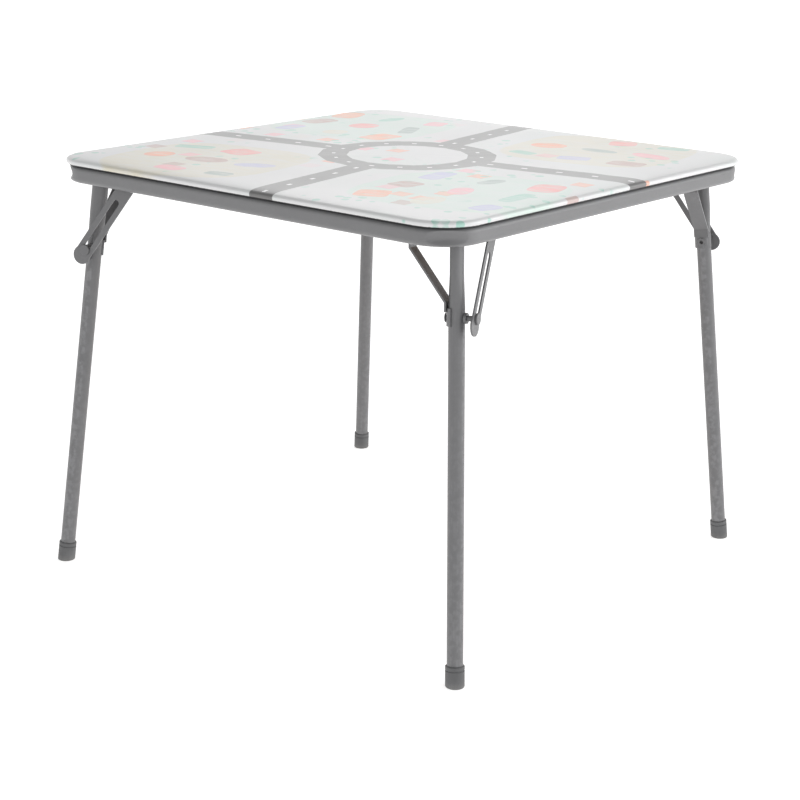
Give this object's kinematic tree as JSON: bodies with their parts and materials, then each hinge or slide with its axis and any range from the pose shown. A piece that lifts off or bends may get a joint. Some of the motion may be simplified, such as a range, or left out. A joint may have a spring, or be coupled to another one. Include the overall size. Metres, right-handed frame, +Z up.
{
  "type": "folding play table",
  "caption": "Square low folding play table with a padded vinyl top, bent tube frame, splayed tube legs and slotted folding braces.",
  "frame": {"origin": "on the floor under the middle of the table", "axes": "+Z up, front side -Y, left side -X; the front left leg folds towards +X"},
  "size_m": [0.6472, 0.6472, 0.508],
  "materials": {
    "vinyl": "padded vinyl, satin, printed with a road map",
    "foam": "open-cell foam",
    "panel": "hardboard",
    "frame_paint": "grey powder coat, satin",
    "leg_paint": "grey powder coat, satin",
    "brace_paint": "grey powder coat, satin",
    "foot_plastic": "moulded, matt",
    "fastener_steel": "zinc plated"
  },
  "bodies": {
    "table": {"frame_rail_front": "frame_paint", "frame_rail_right": "frame_paint", "frame_rail_back": "frame_paint", "frame_rail_left": "frame_paint", "frame_bend_front_left": "frame_paint", "frame_bend_front_right": "frame_paint", "frame_bend_back_right": "frame_paint", "frame_bend_back_left": "frame_paint", "top_panel": "panel", "top_foam": "foam", "top_cover": "vinyl", "frame_screws": "fastener_steel", "bracket_screws": "fastener_steel", "leg_bracket_front_left": "brace_paint", "hinge_pin_front_left": "fastener_steel", "side_pivot_rivet_front_left": "fastener_steel", "lock_pivot_rivet_front_left": "fastener_steel", "leg_bracket_front_right": "brace_paint", "hinge_pin_front_right": "fastener_steel", "side_pivot_rivet_front_right": "fastener_steel", "lock_pivot_rivet_front_right": "fastener_steel", "leg_bracket_back_right": "brace_paint", "hinge_pin_back_right": "fastener_steel", "side_pivot_rivet_back_right": "fastener_steel", "lock_pivot_rivet_back_right": "fastener_steel", "leg_bracket_back_left": "brace_paint", "hinge_pin_back_left": "fastener_steel", "side_pivot_rivet_back_left": "fastener_steel", "lock_pivot_rivet_back_left": "fastener_steel"},
    "leg_front_left": {"leg_tube_front_left": "leg_paint", "foot_cap_front_left": "foot_plastic", "side_brace_front_left": "brace_paint", "lock_stud_front_left": "fastener_steel"},
    "lock_brace_front_left": {"lock_brace_front_left": "brace_paint"},
    "lock_button_front_left": {"lock_button_front_left": "fastener_steel"},
    "leg_front_right": {"leg_tube_front_right": "leg_paint", "foot_cap_front_right": "foot_plastic", "side_brace_front_right": "brace_paint", "lock_stud_front_right": "fastener_steel"},
    "lock_brace_front_right": {"lock_brace_front_right": "brace_paint"},
    "lock_button_front_right": {"lock_button_front_right": "fastener_steel"},
    "leg_back_right": {"leg_tube_back_right": "leg_paint", "foot_cap_back_right": "foot_plastic", "side_brace_back_right": "brace_paint", "lock_stud_back_right": "fastener_steel"},
    "lock_brace_back_right": {"lock_brace_back_right": "brace_paint"},
    "lock_button_back_right": {"lock_button_back_right": "fastener_steel"},
    "leg_back_left": {"leg_tube_back_left": "leg_paint", "foot_cap_back_left": "foot_plastic", "side_brace_back_left": "brace_paint", "lock_stud_back_left": "fastener_steel"},
    "lock_brace_back_left": {"lock_brace_back_left": "brace_paint"},
    "lock_button_back_left": {"lock_button_back_left": "fastener_steel"}
  },
  "joints": [
    {"name": "leg_fold_front_left", "type": "hinge", "parent": "table", "child": "leg_front_left", "pos_m": [-0.24987, -0.27153, 0.485], "axis": [0.2919, -0.9546, 0.0589], "range_deg": [0, 95.68]},
    {"name": "lock_brace_turn_front_left", "type": "hinge", "parent": "table", "child": "lock_brace_front_left", "pos_m": [-0.19349, -0.27673, 0.48627], "axis": [0.2919, -0.9546, 0.0589], "range_deg": [0, 125.33]},
    {"name": "lock_button_slide_front_left", "type": "slide", "parent": "lock_brace_front_left", "child": "lock_button_front_left", "axis": [0.5386, 0.2149, 0.8147], "range_m": [0, 0.07139]},
    {"name": "leg_fold_front_right", "type": "hinge", "parent": "table", "child": "leg_front_right", "pos_m": [0.27153, -0.24987, 0.485], "axis": [0.9546, 0.2919, 0.0589], "range_deg": [0, 95.68]},
    {"name": "lock_brace_turn_front_right", "type": "hinge", "parent": "table", "child": "lock_brace_front_right", "pos_m": [0.27673, -0.19349, 0.48627], "axis": [0.9546, 0.2919, 0.0589], "range_deg": [0, 125.33]},
    {"name": "lock_button_slide_front_right", "type": "slide", "parent": "lock_brace_front_right", "child": "lock_button_front_right", "axis": [-0.2149, 0.5386, 0.8147], "range_m": [0, 0.07139]},
    {"name": "leg_fold_back_right", "type": "hinge", "parent": "table", "child": "leg_back_right", "pos_m": [0.24987, 0.27153, 0.485], "axis": [-0.2919, 0.9546, 0.0589], "range_deg": [0, 95.68]},
    {"name": "lock_brace_turn_back_right", "type": "hinge", "parent": "table", "child": "lock_brace_back_right", "pos_m": [0.19349, 0.27673, 0.48627], "axis": [-0.2919, 0.9546, 0.0589], "range_deg": [0, 125.33]},
    {"name": "lock_button_slide_back_right", "type": "slide", "parent": "lock_brace_back_right", "child": "lock_button_back_right", "axis": [-0.5386, -0.2149, 0.8147], "range_m": [0, 0.07139]},
    {"name": "leg_fold_back_left", "type": "hinge", "parent": "table", "child": "leg_back_left", "pos_m": [-0.27153, 0.24987, 0.485], "axis": [-0.9546, -0.2919, 0.0589], "range_deg": [0, 95.68]},
    {"name": "lock_brace_turn_back_left", "type": "hinge", "parent": "table", "child": "lock_brace_back_left", "pos_m": [-0.27673, 0.19349, 0.48627], "axis": [-0.9546, -0.2919, 0.0589], "range_deg": [0, 125.33]},
    {"name": "lock_button_slide_back_left", "type": "slide", "parent": "lock_brace_back_left", "child": "lock_button_back_left", "axis": [0.2149, -0.5386, 0.8147], "range_m": [0, 0.07139]}
  ],
  "couplings": [
    {"joint": "lock_brace_turn_front_left", "follows": "leg_fold_front_left", "ratio": 1.3097},
    {"joint": "lock_button_slide_front_left", "follows": "leg_fold_front_left", "m_per_rad": 0.042742},
    {"joint": "lock_brace_turn_front_right", "follows": "leg_fold_front_right", "ratio": 1.3097},
    {"joint": "lock_button_slide_front_right", "follows": "leg_fold_front_right", "m_per_rad": 0.042742},
    {"joint": "lock_brace_turn_back_right", "follows": "leg_fold_back_right", "ratio": 1.3097},
    {"joint": "lock_button_slide_back_right", "follows": "leg_fold_back_right", "m_per_rad": 0.042742},
    {"joint": "lock_brace_turn_back_left", "follows": "leg_fold_back_left", "ratio": 1.3097},
    {"joint": "lock_button_slide_back_left", "follows": "leg_fold_back_left", "m_per_rad": 0.042742}
  ]
}
